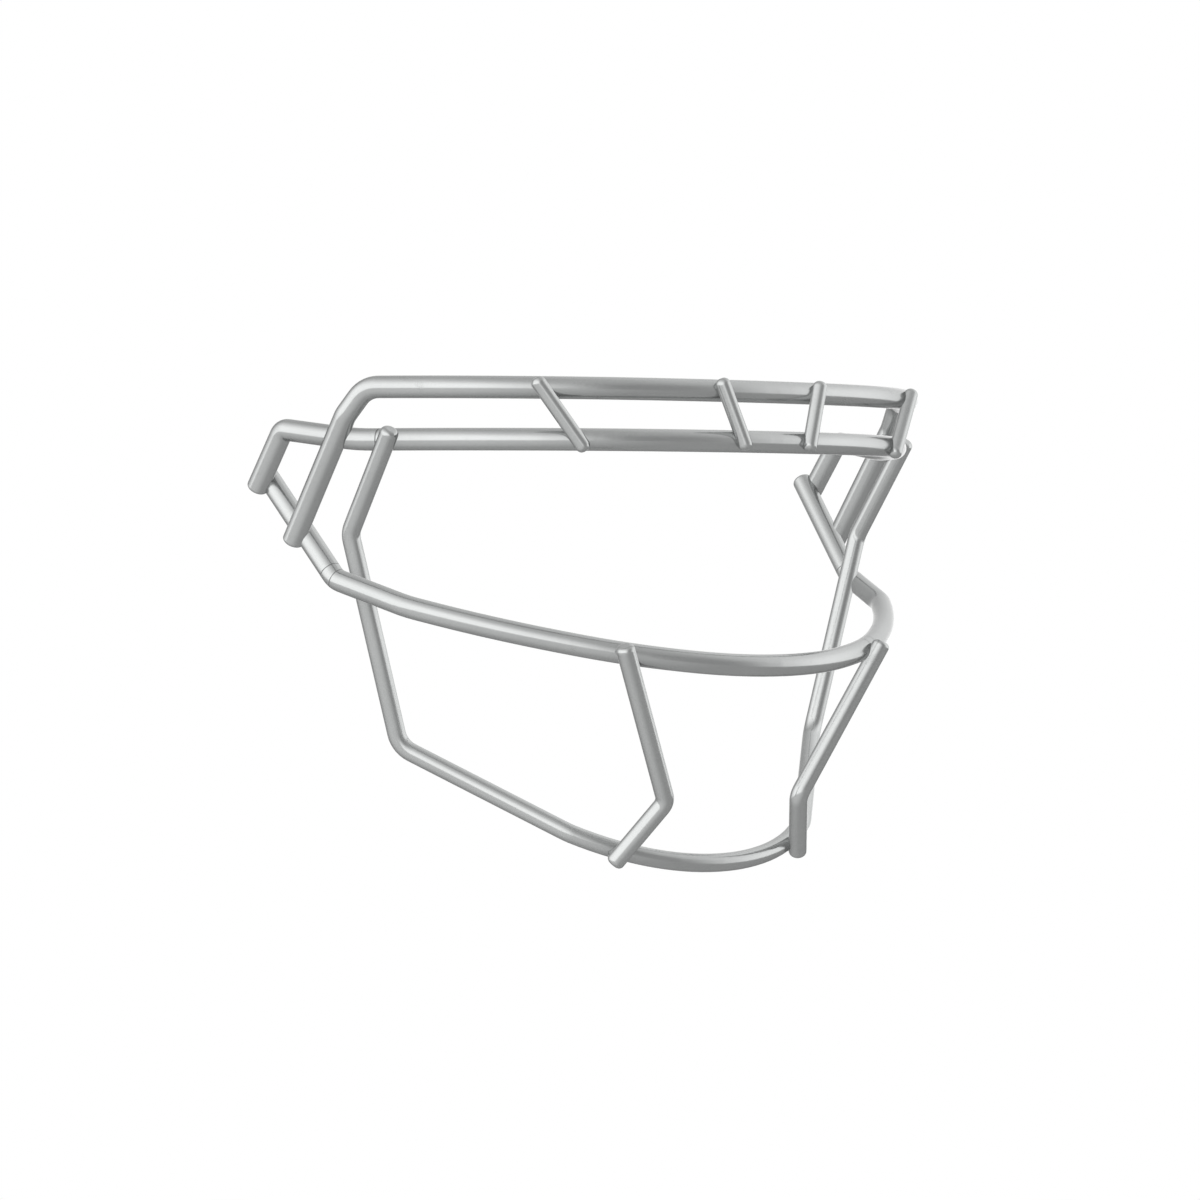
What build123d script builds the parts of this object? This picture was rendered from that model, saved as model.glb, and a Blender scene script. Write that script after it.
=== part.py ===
from build123d import *
import os
from math import tan, radians

# Facemask for a football helmet: ten bent steel wires, welded where they cross and
# then coated. Every wire is two pieces, the steel and the coating around it.
# The mask is the same on both sides of the plane x = 0. The front looks towards -Y,
# the wearer is at +Y, and +X is the wearer's left.
# The origin is the middle of the top rail, on the axis of its wire.
# "Back" sizes run from the origin towards the wearer, "drop" sizes run down from it,
# and "half" sizes run sideways from the mirror plane.

# Wires: steel diameters and the coating on them
rail_steel = 6.3
jaw_steel = 5.2
strut_steel = 3.9
coat = 0.4

# How deep two steel wires sink into each other where they are welded
weld_sink = 0.8
run_sink = 1.5
leg_sink = 2.5

# Rounding of the coated ends, as a share of the coated radius
rail_end_share = 0.35
jaw_end_share = 0.55
strut_end_share = 0.85

# Top rail: front bow, then a leg on each side, a little further out than the bow's end
top_flare = 2.8
top_back = 61.5
top_rise = 0.8
top_square = 0.45
top_bend_r = 9.3
top_elbow_back = 68.7
top_elbow_drop = 7.9
top_elbow_r = 8.0
top_end_back = 98.7
top_end_drop = 48.0

# Brow rail: front bow, a straight run along each temple, then a short leg
brow_front = 2.0
brow_drop = 16.0
brow_back = 71.4
brow_rise = 0.5
brow_square = 0.44
brow_temple_r = 41.8
brow_corner_back = 99.7
brow_corner_drop = 11.7
brow_corner_r = 3.9
brow_end_back = 115.1
brow_end_drop = 30.7

# Mid bar: front bow, a bend at each cheek, then a run up and back to the helmet
mid_front = 4.6
mid_drop = 87.1
mid_half = 99.9
mid_back = 61.5
mid_rise = 18.9
mid_square = 0.09
mid_cheek_r = 20.0
mid_elbow_half = 109.0
mid_elbow_back = 83.1
mid_elbow_drop = 59.7
mid_elbow_r = 8.2
mid_end_half = 114.7
mid_end_back = 115.5
mid_end_drop = 24.9

# Jaw bar: chin bow, a rising run, an upright run, then a run forward to the brow rail
jaw_set_back = 23.8
jaw_drop = 151.5
jaw_half = 49.4
jaw_back = 15.6
jaw_rise = 10.9
jaw_square = 0.15
jaw_chin_r = 20.1
jaw_low_half = 87.4
jaw_low_back = 78.6
jaw_low_drop = 113.4
jaw_low_r = 8.7
jaw_cross_share = 0.76
jaw_high_drop = 45.0
jaw_high_r = 7.3
jaw_weld_share = 0.946
jaw_over = 5.2

# Uprights: one on each side of the chin, from the mid bar to the jaw bar
upright_top_half = 49.2
upright_knee_half = 27.8
upright_knee_back = 16.2
upright_knee_drop = 130.4
upright_knee_r = 4.7
upright_low_half = 35.4
upright_top_over = 4.9
upright_low_over = 3.1

# Struts: two on each side, from the top rail down to the brow rail
outer_top_half = 74.4
outer_low_half = 64.1
inner_top_half = 19.2
inner_low_half = 13.6
outer_over = 4.0
inner_over = 3.5

# Each bow is a chain of arcs that meet at these shares of its half width
bow_shares = [0, 1 / 3, 2 / 3, 1]
arc_share = 0.97

# Sizes that follow
leg_gap = rail_steel - leg_sink
run_gap = (rail_steel + jaw_steel) / 2 - run_sink
upright_gap = (rail_steel + jaw_steel) / 2 - weld_sink
chin_gap = jaw_steel - weld_sink
strut_gap = (rail_steel + strut_steel) / 2 - weld_sink


class Bow:
    """The flat curve at a bar's front. It bends back by `back` and climbs by `rise`
    over its half width. `square` is the share of the bend that sits near the sides."""

    def __init__(self, half, front, level, back, rise, square):
        self.half = half
        self.middle = Vector(0, front, level)
        self.lean = Vector(0, back, rise)
        self.square = square

    def bend(self, share):
        return (1 - self.square) * share**2 + self.square * share**4

    def steepness(self, share):
        return 2 * (1 - self.square) * share + 4 * self.square * share**3

    def place(self, share, bend):
        return self.middle + Vector(share * self.half, 0, 0) + self.lean * bend

    def at(self, x):
        return self.place(x / self.half, self.bend(x / self.half))

    def along(self, x):
        slope = self.steepness(x / self.half) / self.half
        return (Vector(1, 0, 0) + self.lean * slope).normalized()

    def corners(self):
        """Where the tangents at neighbouring shares meet, with the arc that fits there."""
        found = []
        for a, b in zip(bow_shares[:-1], bow_shares[1:]):
            turn = self.steepness(b) - self.steepness(a)
            reach = self.bend(b) - self.bend(a) - self.steepness(a) * (b - a)
            share = b - reach / turn
            corner = self.place(share, self.bend(a) + self.steepness(a) * (share - a))
            start = self.place(a, self.bend(a))
            end = self.place(b, self.bend(b))
            run = arc_share * min((corner - start).length, (end - corner).length)
            angle = (corner - start).get_angle(end - corner)
            found.append((corner, run / tan(radians(angle / 2))))
        return found


def other_side(point):
    return Vector(-point.X, point.Y, point.Z)


def route(bow, tail):
    """Corner points and bend radii of a whole bar. The tail lists the points after
    the bow on one side, each with its radius, and the last one is the bar's end."""
    side = bow.corners() + tail
    points = [p for p, _ in side]
    bends = [r for _, r in side[:-1]]
    points = [other_side(p) for p in reversed(points)] + points
    return points, bends[::-1] + bends


def share_at_crossing(a, b, c, d):
    """Seen from the side, the share of a-b at which the line through c and d crosses it."""
    run, other, start = b - a, d - c, c - a
    across = run.Y * other.Z - run.Z * other.Y
    return (start.Y * other.Z - start.Z * other.Y) / across


def outward(bar_way, wire_way):
    """Direction square to two crossing wires, out of the mask's front."""
    way = bar_way.cross(wire_way).normalized()
    return way if way.Y < 0 else way * -1


# Mid bar
mid_bow = Bow(mid_half, -mid_front, -mid_drop, mid_back, mid_rise, mid_square)
mid_elbow = Vector(mid_elbow_half, mid_elbow_back, -mid_elbow_drop)
mid_end = Vector(mid_end_half, mid_end_back, -mid_end_drop)
mid_tail = [(mid_bow.at(mid_half), mid_cheek_r), (mid_elbow, mid_elbow_r), (mid_end, 0)]

# Top rail: its legs lie on the outside of the mid bar's rear runs
top_elbow = Vector(0, top_elbow_back, -top_elbow_drop)
top_end = Vector(0, top_end_back, -top_end_drop)
share = share_at_crossing(mid_elbow, mid_end, top_elbow, top_end)
top_leg_half = (mid_elbow + (mid_end - mid_elbow) * share).X + leg_gap
top_elbow.X = top_leg_half
top_end.X = top_leg_half
top_half = top_leg_half - top_flare
top_bow = Bow(top_half, 0, 0, top_back, top_rise, top_square)
top_tail = [(top_bow.at(top_half), top_bend_r), (top_elbow, top_elbow_r), (top_end, 0)]

# Brow rail: its short legs lie on the mid bar too, and the runs along the temples
# lie just inside the top rail's legs
brow_corner = Vector(0, brow_corner_back, -brow_corner_drop)
brow_end = Vector(0, brow_end_back, -brow_end_drop)
share = share_at_crossing(mid_elbow, mid_end, brow_corner, brow_end)
brow_leg_half = (mid_elbow + (mid_end - mid_elbow) * share).X + leg_gap
brow_corner.X = brow_leg_half
brow_end.X = brow_leg_half
temple = Vector(0, brow_back - brow_front, brow_rise - brow_drop)
share = share_at_crossing(temple, brow_corner, top_elbow, top_end)
beside_leg = top_leg_half - leg_gap
brow_half = (beside_leg - brow_leg_half * share) / (1 - share)
brow_bow = Bow(brow_half, -brow_front, -brow_drop, brow_back, brow_rise, brow_square)
brow_tail = [
    (brow_bow.at(brow_half), brow_temple_r),
    (brow_corner, brow_corner_r),
    (brow_end, 0),
]

# Jaw bar: its upright runs pass inside the mid bar, between the cheek and the elbow,
# and its ends are welded to the front of the brow rail at the temples
jaw_bow = Bow(jaw_half, jaw_set_back, -jaw_drop, jaw_back, jaw_rise, jaw_square)
jaw_low = Vector(jaw_low_half, jaw_low_back, -jaw_low_drop)
cheek = mid_bow.at(mid_half)
crossing = cheek + (mid_elbow - cheek) * jaw_cross_share
crossing -= outward(mid_elbow - cheek, crossing - jaw_low) * run_gap
jaw_climb = (jaw_low_drop - jaw_high_drop) / (crossing.Z - jaw_low.Z)
jaw_high = jaw_low + (crossing - jaw_low) * jaw_climb
jaw_seat = brow_bow.at(jaw_weld_share * brow_half)
seat_way = outward(brow_bow.along(jaw_weld_share * brow_half), jaw_seat - jaw_high)
jaw_weld = jaw_seat + seat_way * upright_gap
jaw_end = jaw_weld + (jaw_weld - jaw_high).normalized() * jaw_over
jaw_tail = [
    (jaw_bow.at(jaw_half), jaw_chin_r),
    (jaw_low, jaw_low_r),
    (jaw_high, jaw_high_r),
    (jaw_end, 0),
]


def upright_route():
    """The wearer's left upright, on the outside of the mid bar and of the jaw bar."""
    knee = Vector(upright_knee_half, upright_knee_back, -upright_knee_drop)
    ends = []
    for bow, x, gap, over in (
        (mid_bow, upright_top_half, upright_gap, upright_top_over),
        (jaw_bow, upright_low_half, chin_gap, upright_low_over),
    ):
        seat = bow.at(x)
        weld = seat + outward(bow.along(x), seat - knee) * gap
        ends.append(weld + (weld - knee).normalized() * over)
    return [ends[0], knee, ends[1]], [upright_knee_r]


def strut_route(top_x, low_x, over):
    """A strut on the wearer's left, on the outside of the top rail and the brow rail."""
    top_seat = top_bow.at(top_x)
    low_seat = brow_bow.at(low_x)
    way = top_seat - low_seat
    top_weld = top_seat + outward(top_bow.along(top_x), way) * strut_gap
    low_weld = low_seat + outward(brow_bow.along(low_x), way) * strut_gap
    way = (top_weld - low_weld).normalized()
    return [top_weld + way * over, low_weld - way * over], []


def mirrored(path):
    points, bends = path
    return [other_side(p) for p in points], bends


# Every wire: its route, its steel diameter, its end rounding and the wires that it is
# notched to sit on, each of which comes earlier in this list
upright = upright_route()
outer_strut = strut_route(outer_top_half, outer_low_half, outer_over)
inner_strut = strut_route(inner_top_half, inner_low_half, inner_over)
rails = ["top_rail", "brow_rail"]
wires = {
    "mid_bar": (route(mid_bow, mid_tail), rail_steel, rail_end_share, []),
    "brow_rail": (route(brow_bow, brow_tail), rail_steel, rail_end_share, ["mid_bar"]),
    "top_rail": (
        route(top_bow, top_tail),
        rail_steel,
        rail_end_share,
        ["mid_bar", "brow_rail"],
    ),
    "jaw_bar": (
        route(jaw_bow, jaw_tail),
        jaw_steel,
        jaw_end_share,
        ["mid_bar", "brow_rail"],
    ),
    "upright_left": (upright, jaw_steel, jaw_end_share, ["mid_bar", "jaw_bar"]),
    "upright_right": (
        mirrored(upright),
        jaw_steel,
        jaw_end_share,
        ["mid_bar", "jaw_bar"],
    ),
    "outer_strut_left": (outer_strut, strut_steel, strut_end_share, rails),
    "outer_strut_right": (mirrored(outer_strut), strut_steel, strut_end_share, rails),
    "inner_strut_left": (inner_strut, strut_steel, strut_end_share, rails),
    "inner_strut_right": (mirrored(inner_strut), strut_steel, strut_end_share, rails),
}


def rod(path, diameter, trim, rounding):
    """A round bar along a bent path. Its ends are pulled in by trim, then rounded."""
    points, bends = path
    first_way = (points[1] - points[0]).normalized()
    last_way = (points[-2] - points[-1]).normalized()
    points = [points[0] + first_way * trim, *points[1:-1], points[-1] + last_way * trim]
    with BuildPart() as bar:
        with BuildLine() as centre_line:
            if bends:
                FilletPolyline(*points, radius=bends)
            else:
                Line(*points)
        with BuildSketch(Plane(origin=points[0], z_dir=first_way)):
            Circle(diameter / 2)
        sweep()
        fillet(bar.faces().filter_by(GeomType.PLANE).edges(), rounding)
    return bar.part


def solid_rods():
    """Each wire as a plain steel rod and as a coated rod, before any notch is cut."""
    steel, coated = {}, {}
    for name, (path, diameter, end_share, _) in wires.items():
        outer = diameter + 2 * coat
        rounding = end_share * outer / 2
        steel[name] = rod(path, diameter, coat, rounding - coat)
        coated[name] = rod(path, outer, 0, rounding)
    return steel, coated


steel_rods, coated_rods = solid_rods()
os.makedirs("parts", exist_ok=True)

for name, (_, _, _, seats) in wires.items():
    riders = [other for other, entry in wires.items() if name in entry[3]]

    # The steel, notched where it sinks into the wires that it sits on
    with BuildPart() as steel:
        add(steel_rods[name])
        for seat in seats:
            add(steel_rods[seat], mode=Mode.SUBTRACT)
    steel.part.label = name + "_steel"
    export_step(steel.part, "parts/" + name + "_steel.step")

    # The coating, open where another wire's steel is welded to this one
    with BuildPart() as coating:
        add(coated_rods[name])
        add(steel_rods[name], mode=Mode.SUBTRACT)
        for seat in seats:
            add(coated_rods[seat], mode=Mode.SUBTRACT)
        for rider in riders:
            add(steel_rods[rider], mode=Mode.SUBTRACT)
    coating.part.label = name + "_coating"
    export_step(coating.part, "parts/" + name + "_coating.step")
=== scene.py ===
# %% [markdown]
# # A football helmet facemask, lit as a catalogue picture
#
# The mask is ten bent steel wires, welded where they cross and coated in satin silver.
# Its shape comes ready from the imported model, so this script only gives it its finish,
# a studio around it and a camera. Every length is in metres.

import math

import bpy
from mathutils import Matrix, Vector


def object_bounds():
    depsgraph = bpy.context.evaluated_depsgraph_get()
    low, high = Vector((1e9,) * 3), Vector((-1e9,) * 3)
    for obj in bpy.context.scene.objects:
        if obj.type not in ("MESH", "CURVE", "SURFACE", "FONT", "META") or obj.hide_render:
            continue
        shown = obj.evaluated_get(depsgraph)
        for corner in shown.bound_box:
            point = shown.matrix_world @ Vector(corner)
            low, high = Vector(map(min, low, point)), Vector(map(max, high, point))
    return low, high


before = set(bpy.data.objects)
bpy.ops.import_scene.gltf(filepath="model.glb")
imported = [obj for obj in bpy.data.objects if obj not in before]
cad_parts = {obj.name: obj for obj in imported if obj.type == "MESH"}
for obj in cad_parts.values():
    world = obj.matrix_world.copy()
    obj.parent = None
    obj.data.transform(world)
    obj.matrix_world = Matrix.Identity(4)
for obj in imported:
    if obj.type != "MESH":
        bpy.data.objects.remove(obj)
cad_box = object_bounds()
mask_centre = (cad_box[0] + cad_box[1]) / 2
mask_size = cad_box[1] - cad_box[0]
print("nodes:", len(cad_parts), "size in mm:", [round(1000 * x, 1) for x in mask_size])

# %% [markdown]
# ## The camera
#
# The picture was taken from far away with a long lens, level with the mask and 38 degrees
# to its right side. A long lens keeps the near and the far cheek almost the same size.
# The camera is placed by its angle and distance from one point of the mask, so that the
# numbers say what a photographer would say. The sensor is shifted by half a pixel, which
# is how far the picture's middle lies from the middle of its middle pixel.

# %% Camera
camera_azimuth = math.radians(-38.0)
camera_elevation = math.radians(0.58)
camera_distance = 1.4
camera_lens_mm = 125.28
camera_target = Vector((0.0, 0.08564, -0.06715))
picture_pixels = 1200
half_a_pixel = 0.5 / picture_pixels


def direction(azimuth, elevation):
    """The way from the mask towards a place, 0 being straight out of the mask's front."""
    level = math.cos(elevation)
    return Vector(
        (math.sin(azimuth) * level, -math.cos(azimuth) * level, math.sin(elevation))
    )


camera = bpy.data.objects.new("camera", bpy.data.cameras.new("camera"))
bpy.context.scene.collection.objects.link(camera)
camera_way = direction(camera_azimuth, camera_elevation)
camera.location = camera_target + camera_distance * camera_way
camera.rotation_euler = camera_way.to_track_quat("Z", "Y").to_euler()
camera.data.lens = camera_lens_mm
camera.data.shift_x = -half_a_pixel
camera.data.shift_y = half_a_pixel
bpy.context.scene.camera = camera
bpy.context.scene.view_settings.view_transform = "Standard"
print("camera at", [round(x, 3) for x in camera.location])

# %% [markdown]
# ## Shader maths as plain Python
#
# A finish is a formula: roughness is a base value plus some noise, and so on. Joining
# Math nodes by hand hides that formula, so this small class wraps one socket and turns
# `+`, `-` and `*` into Math nodes.


# %% Sums of shader values
class Field:
    """A value that changes over a surface: one output of a shader node."""

    def __init__(self, recipe, socket):
        self.recipe, self.socket = recipe, socket

    def combine(self, operation, first, second):
        return self.recipe.node(
            "ShaderNodeMath", {"operation": operation}, {0: first, 1: second}
        )

    def __add__(self, other):
        return self.combine("ADD", self, other)

    def __sub__(self, other):
        return self.combine("SUBTRACT", self, other)

    def __rsub__(self, other):
        return self.combine("SUBTRACT", other, self)

    def __mul__(self, other):
        return self.combine("MULTIPLY", self, other)

    def __abs__(self):
        return self.combine("MAXIMUM", self, self * -1)

    __radd__ = __add__
    __rmul__ = __mul__


# %% [markdown]
# ## A material as a recipe
#
# `Recipe.node` adds any other kind of node: it takes the node's type, its settings and
# what goes into its sockets. Short methods make the kinds that come up most: vector maths,
# noise, a soft step and a mix of two colours. `Recipe.show` ends a recipe.


# %% The nodes of a material
class Recipe:
    """A material, or the world, and the nodes that make its look."""

    def __init__(self, owner):
        owner.use_nodes = True
        self.owner = owner
        self.tree = owner.node_tree
        self.tree.nodes.clear()

    def node(self, kind, settings=None, inputs=None, output=0):
        made = self.tree.nodes.new(kind)
        for name, value in (settings or {}).items():
            setattr(made, name, value)
        for name, value in (inputs or {}).items():
            if isinstance(value, Field):
                self.tree.links.new(value.socket, made.inputs[name])
            else:
                made.inputs[name].default_value = value
        return Field(self, made.outputs[output]) if made.outputs else None

    def place(self):
        """Where a point of the surface lies, in metres from the model's origin."""
        return self.node("ShaderNodeTexCoord", output="Object")

    def vector(self, operation, *vectors):
        """Vector maths, giving a vector or, for a length or a dot product, a number."""
        number = operation in ("LENGTH", "DOT_PRODUCT")
        return self.node(
            "ShaderNodeVectorMath",
            {"operation": operation},
            dict(enumerate(vectors)),
            "Value" if number else "Vector",
        )

    def noise(self, grain, detail=2.0):
        """Cloudy noise round zero, with patches about as wide as the grain."""
        cloud = self.node(
            "ShaderNodeTexNoise",
            inputs={"Vector": self.place(), "Scale": 1 / grain, "Detail": detail},
        )
        return cloud - 0.5

    def step(self, value, start, end, low=0.0, high=1.0):
        """A soft step from low to high while the value runs from start to end."""
        span = {"From Min": start, "From Max": end, "To Min": low, "To Max": high}
        return self.node(
            "ShaderNodeMapRange",
            {"interpolation_type": "SMOOTHSTEP"},
            {"Value": value, **span},
        )

    def mix(self, share, first, second):
        """The first colour, with a share of the second in it."""
        colours = {0: share, 6: first, 7: second}
        return self.node("ShaderNodeMix", {"data_type": "RGBA"}, colours, output=2)

    def show(self, shader, kind="Material"):
        """Give the surface, or the world, the look of this shader."""
        self.node("ShaderNodeOutput" + kind, inputs={"Surface": shader})


def new_material(name):
    return Recipe(bpy.data.materials.new(name))


# %% [markdown]
# ## White all round
#
# The background of the picture is pure white, and that is simply the colour of the world
# at a strength of one. It lights nothing, because the light tent below stands in its way.

# %% World
white = (1, 1, 1, 1)

scene_world = bpy.data.worlds.new("white")
bpy.context.scene.world = scene_world
world = Recipe(scene_world)
sky = world.node("ShaderNodeBackground", inputs={"Color": white, "Strength": 1.0})
world.show(sky, "World")
print("world:", scene_world.name)

# %% [markdown]
# ## The floor
#
# A sheet of pale paper lies under the mask and takes its shadow. Away from the mask it
# turns pure white to the camera, so that no horizon shows. The light of the tent passes
# through it, as it would through a glass table, and the wires mirror the tent alone.

# %% Floor
floor_drop = 0.2
floor_half = 8.0
paper_colour = (0.8, 0.8, 0.8, 1)
pool_inner, pool_outer = 0.35, 0.62


def add_mesh(name, points, faces, material):
    """Add a piece of the studio, which isn't a part of the mask."""
    mesh = bpy.data.meshes.new(name)
    mesh.from_pydata(points, [], faces)
    mesh.materials.append(material)
    thing = bpy.data.objects.new(name, mesh)
    bpy.context.scene.collection.objects.link(thing)
    return thing


paper = new_material("floor_paper")
floor_level = cad_box[0].z - floor_drop
middle = (mask_centre.x, mask_centre.y, floor_level)
away = paper.vector("SUBTRACT", paper.place(), middle)
white_out = paper.step(paper.vector("LENGTH", away), pool_inner, pool_outer)
seen = paper.node("ShaderNodeLightPath", output="Is Camera Ray")
sheet = paper.node(
    "ShaderNodeMixShader",
    inputs={
        0: seen * white_out,
        1: paper.node("ShaderNodeBsdfDiffuse", inputs={"Color": paper_colour}),
        2: paper.node("ShaderNodeEmission", inputs={"Color": white, "Strength": 1.0}),
    },
)
paper.show(sheet)
corners = [(-1, -1), (1, -1), (1, 1), (-1, 1)]
floor = add_mesh(
    "floor",
    [(x * floor_half, y * floor_half, floor_level) for x, y in corners],
    [(0, 1, 2, 3)],
    paper.owner,
)
floor.visible_shadow = False
floor.visible_glossy = False
print("floor", floor_drop, "below the mask")

# %% [markdown]
# ## The cloth of a light tent
#
# Glossy wires show their roundness only through what they mirror. A few lamps would show
# as hard spots on them, so the mask stands in a tent of white cloth instead. Lamps behind
# the cloth make two wide glows, one on the left and a weaker one on the right, with a dim
# stretch in front. Both glows end in a sharp edge just under the horizon, and fade upwards
# and towards the back. That gives every wire a bright band with one crisp edge and one
# soft edge. Below the edge the cloth is dim, and brighter on the left. How bright the
# cloth is depends only on the direction towards it, so the whole cloth is one formula.

# %% Tent cloth
left_way = direction(math.radians(-95), 0)
right_way = direction(math.radians(105), 0)
left_glow, right_glow = 1.98, 1.66
glow_start, glow_full = 0.0, 0.8
fade_start, fade_end, fade_left = 0.3, 1.0, 0.33
back_start, back_end, back_left = 0.4, 1.0, 0.45
front_low, front_high = 0.53, 0.90
edge_low, edge_high = -0.225, -0.175
under_way = direction(math.radians(-80), 0)
under_start, under_end, under_dim, under_bright = -0.1, 1.0, 0.60, 1.24

cloth = new_material("tent_cloth")
way = cloth.vector("NORMALIZE", cloth.place())
height = cloth.node("ShaderNodeSeparateXYZ", inputs={0: way}, output="Z")
depth = cloth.node("ShaderNodeSeparateXYZ", inputs={0: way}, output="Y")
left = cloth.step(cloth.vector("DOT_PRODUCT", way, left_way), glow_start, glow_full)
right = cloth.step(cloth.vector("DOT_PRODUCT", way, right_way), glow_start, glow_full)
fade_up = cloth.step(height, fade_start, fade_end, 1.0, fade_left)
fade_back = cloth.step(depth, back_start, back_end, 1.0, back_left)
front = cloth.step(height, fade_start, fade_end, front_low, front_high)
above = front + (left * left_glow + right * right_glow) * (fade_back * fade_up)
side = cloth.vector("DOT_PRODUCT", way, under_way)
below = cloth.step(side, under_start, under_end, under_dim, under_bright)
tone = below + cloth.step(height, edge_low, edge_high) * (above - below)
cloth.show(cloth.node("ShaderNodeEmission", inputs={"Color": tone, "Strength": 1.0}))
print("cloth:", len(cloth.tree.nodes), "nodes")

# %% [markdown]
# ## The tent itself
#
# With the light in the cloth's formula, the tent can be a plain sphere of flat pieces
# around the mask and the camera. Behind the mask the picture is plain white, so the camera
# doesn't see the tent, and it sees the white world there. The tent still lights the mask
# and shows in its wires.

# %% Light tent
tent_radius = 3.0
tent_rings, tent_slices = 32, 64

points, faces = [], []
for i in range(tent_rings + 1):
    for j in range(tent_slices):
        elevation = math.pi * (i / tent_rings - 0.5)
        points.append(direction(2 * math.pi * j / tent_slices, elevation) * tent_radius)
        if i < tent_rings:
            corner, beside = i * tent_slices + j, i * tent_slices + (j + 1) % tent_slices
            faces.append((corner, beside, beside + tent_slices, corner + tent_slices))
tent = add_mesh("light_tent", points, faces, cloth.owner)
tent.visible_camera = False
print("tent of", len(faces), "pieces of cloth")

# %% [markdown]
# ## Seams
#
# Where a bar was bent in a tool or joined, a hairline seam shows round it. Such a line is
# too fine to cut into the model, so the material draws it. A seam is a thin slice of space:
# the points near a place on the wire that lie almost level with it along the wire's
# direction.

# %% Seam lines
seam_reach, seam_reach_end = 0.0040, 0.0044


def seam_lines(recipe, seams):
    """One on a hairline round the wire at each seam, and zero elsewhere."""
    total = 0.0
    for place, way, half_width in seams:
        offset = recipe.vector("SUBTRACT", recipe.place(), place)
        along = recipe.vector("DOT_PRODUCT", offset, Vector(way).normalized())
        line = recipe.step(abs(along), 0.0, half_width, 1.0, 0.0)
        reach = recipe.vector("LENGTH", offset)
        total = line * recipe.step(reach, seam_reach, seam_reach_end, 1.0, 0.0) + total
    return total


# %% [markdown]
# ## The silver coating
#
# The coating is a polymer powder full of fine metal flakes, sprayed on and baked. So it
# mirrors like a dark metal, softly, with a little plain paint in it. Close up it is not
# even: the flakes make a fine grain, the powder flows into a shallow orange peel, and
# handling leaves a few dull scuffs. Every pattern is made in space and not on the surface,
# so it runs on unbroken where one wire's coating meets the next.

# %% Coating
dark_silver = (0.315, 0.322, 0.320, 1)
light_silver = (0.375, 0.382, 0.380, 1)
seam_colour = (0.02, 0.02, 0.02, 1)
flake_grain, peel_grain, cloud_grain, scuff_grain = 0.0004, 0.0024, 0.03, 0.006
flake_tone, cloud_tone, scuff_tone, seam_tone = 0.2, 0.9, 0.35, 0.6
flake_rough, cloud_rough, scuff_rough = 0.05, 0.06, 0.08
peel_depth, flake_depth, seam_depth = 0.000012, 0.0000004, 0.00008
peel_detail, scuff_detail = 1.0, 4.0
scuff_start, scuff_full = 0.16, 0.24
metal_share, satin, edge_tint = 0.88, 0.19, (0.5, 0.5, 0.5, 1)


def coating(name, seams=()):
    silver = new_material(name)
    flakes = silver.node(
        "ShaderNodeTexVoronoi",
        inputs={"Vector": silver.place(), "Scale": 1 / flake_grain},
        output="Color",
    )
    flake = silver.node("ShaderNodeSeparateColor", inputs={0: flakes}) - 0.5
    peel = silver.noise(peel_grain, peel_detail)
    cloud = silver.noise(cloud_grain)
    scuff = silver.step(silver.noise(scuff_grain, scuff_detail), scuff_start, scuff_full)
    seam = seam_lines(silver, seams)

    tone = 0.5 + flake * flake_tone + cloud * cloud_tone - scuff * scuff_tone - seam
    paint = silver.mix(tone, dark_silver, light_silver)
    if seams:
        paint = silver.mix(seam * seam_tone, paint, seam_colour)
    relief = peel * peel_depth + flake * flake_depth - seam * seam_depth
    bump = silver.node("ShaderNodeBump", inputs={"Height": relief, "Distance": 1.0})
    dullness = satin + flake * flake_rough + cloud * cloud_rough + scuff * scuff_rough
    shell = silver.node(
        "ShaderNodeBsdfPrincipled",
        inputs={
            "Base Color": paint,
            "Metallic": metal_share,
            "Roughness": dullness,
            "Specular Tint": edge_tint,
            "Normal": bump,
        },
    )
    silver.show(shell)
    return silver.owner


plain_coating = coating("silver_coating")
print("coating:", len(plain_coating.node_tree.nodes), "nodes")

# %% [markdown]
# ## Where the seams are
#
# The picture shows them on two bars. The mid bar has a pair at each elbow, where the bend
# starts and ends, and a pair beside the left upright. The brow rail has one near each jaw
# bar end, and it is a bit wider. Each is a place on the wire's axis, the wire's direction
# there and half the width of the line.

# %% Coated wires
hairline, wide_line = 0.0002, 0.0004
elbow_seams = [
    ((0.1094, 0.0856, -0.0570), (0.12, 0.68, 0.72), hairline),
    ((0.1088, 0.0827, -0.0596), (0.24, 0.84, 0.49), hairline),
]
bow_seams = [
    ((0.0490, 0.0091, -0.0829), (0.86, 0.49, 0.15), hairline),
    ((0.0533, 0.0116, -0.0821), (0.84, 0.52, 0.16), hairline),
]
brow_seams = [((0.1064, 0.0623, -0.0155), (0.47, 0.88, 0.01), wide_line)]


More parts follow.
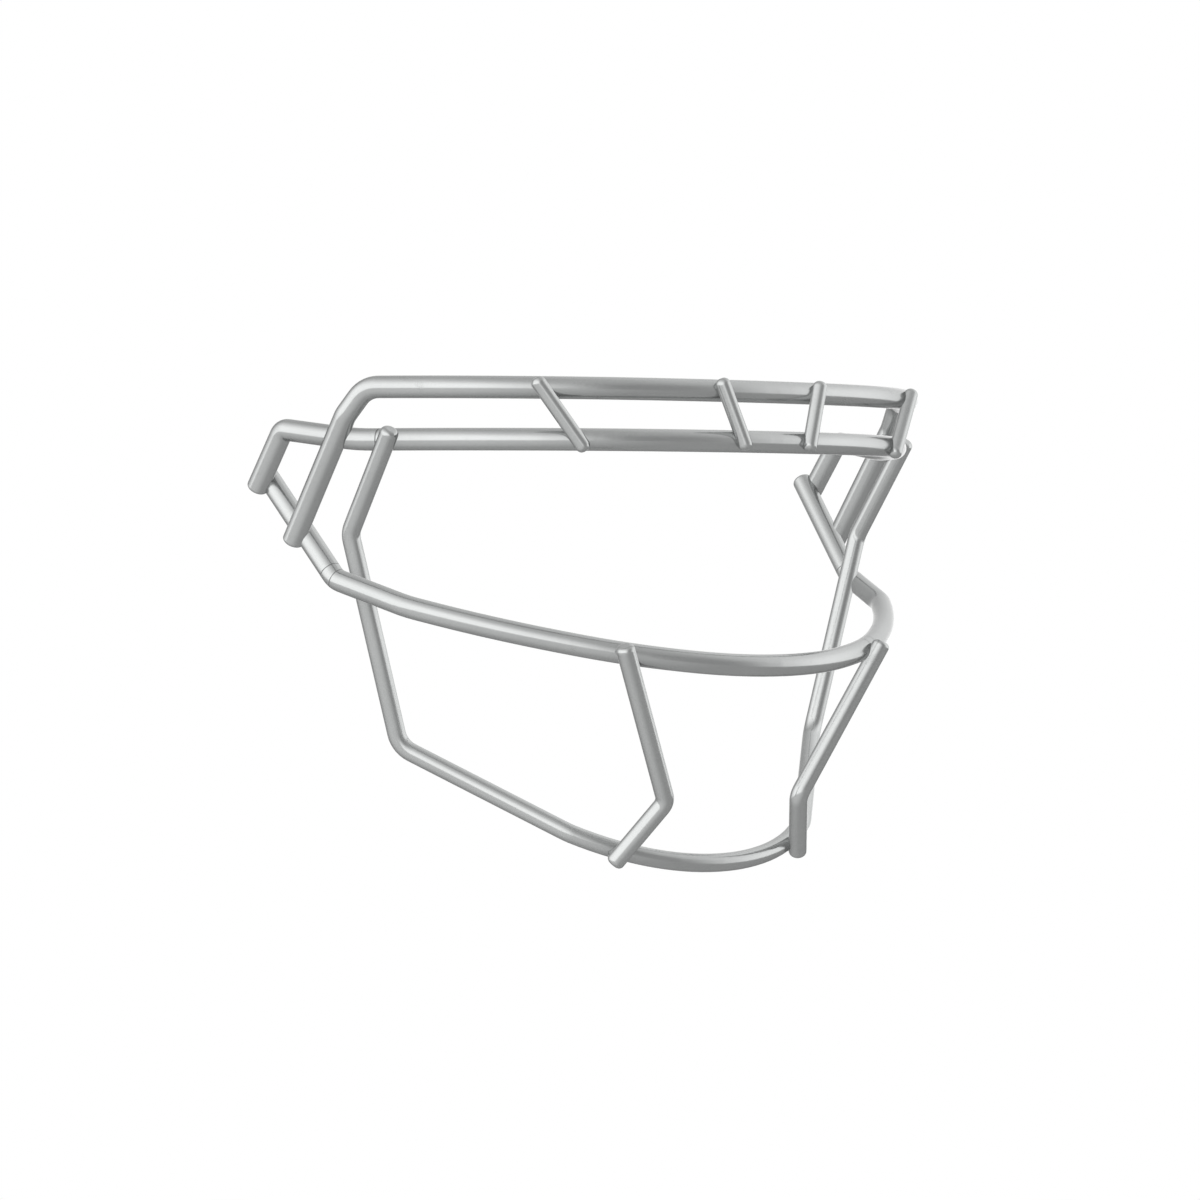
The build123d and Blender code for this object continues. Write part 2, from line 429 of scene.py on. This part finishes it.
def on_both_sides(seams):
    """The seams, and the same again mirrored to the wearer's right."""
    return [
        ((s * p[0], *p[1:]), (s * w[0], *w[1:]), half_width)
        for s in (1, -1)
        for p, w, half_width in seams
    ]


coatings = {
    "mid_bar_coating": coating("mid_bar_silver", on_both_sides(elbow_seams) + bow_seams),
    "brow_rail_coating": coating("brow_rail_silver", on_both_sides(brow_seams)),
}
for name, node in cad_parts.items():
    if name.endswith("_coating"):
        node.data.materials[0] = coatings.get(name, plain_coating)
        print("coated", name)

# %% [markdown]
# ## Bare steel inside
#
# The steel shows nowhere on a sound mask, but it is there in the model and would show in
# a cut or a chip. It is cold-drawn wire: grey, a bit rough and finely scratched.

# %% Steel wires
dark_steel = (0.25, 0.25, 0.26, 1)
light_steel = (0.36, 0.36, 0.37, 1)
scratch_grain, scratch_depth, steel_detail = 0.0003, 0.000004, 3.0
stain_tone, scratch_tone = 1.2, 0.6
drawn_rough, scratch_rough, stain_rough = 0.38, 0.15, 0.1

steel = new_material("drawn_steel")
scratch = steel.noise(scratch_grain, steel_detail)
stain = steel.noise(cloud_grain, steel_detail)
steel_tone = 0.5 + stain * stain_tone + scratch * scratch_tone
steel_bump = steel.node(
    "ShaderNodeBump", inputs={"Height": scratch * scratch_depth, "Distance": 1.0}
)
steel_shell = steel.node(
    "ShaderNodeBsdfPrincipled",
    inputs={
        "Base Color": steel.mix(steel_tone, dark_steel, light_steel),
        "Metallic": 1.0,
        "Roughness": drawn_rough + scratch * scratch_rough + stain * stain_rough,
        "Normal": steel_bump,
    },
)
steel.show(steel_shell)
for name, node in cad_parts.items():
    if name.endswith("_steel"):
        node.data.materials[0] = steel.owner
        print("steel", name)

# %% [markdown]
# ## Which wires mirror each other
#
# Glossy wires that stand close together mirror each other, and each mirror image is a dark
# line along the neighbour. In the picture the brow rail and the short wires darken what
# they touch, and the other three long bars leave no such lines. So these three are hidden
# from glossy rays, and their neighbours mirror the tent there. Their shadows stay.

# %% Mirror images
unmirrored = ("top_rail", "mid_bar", "jaw_bar")
for name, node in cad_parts.items():
    if name.startswith(unmirrored):
        node.visible_glossy = False
        print("not mirrored:", name)
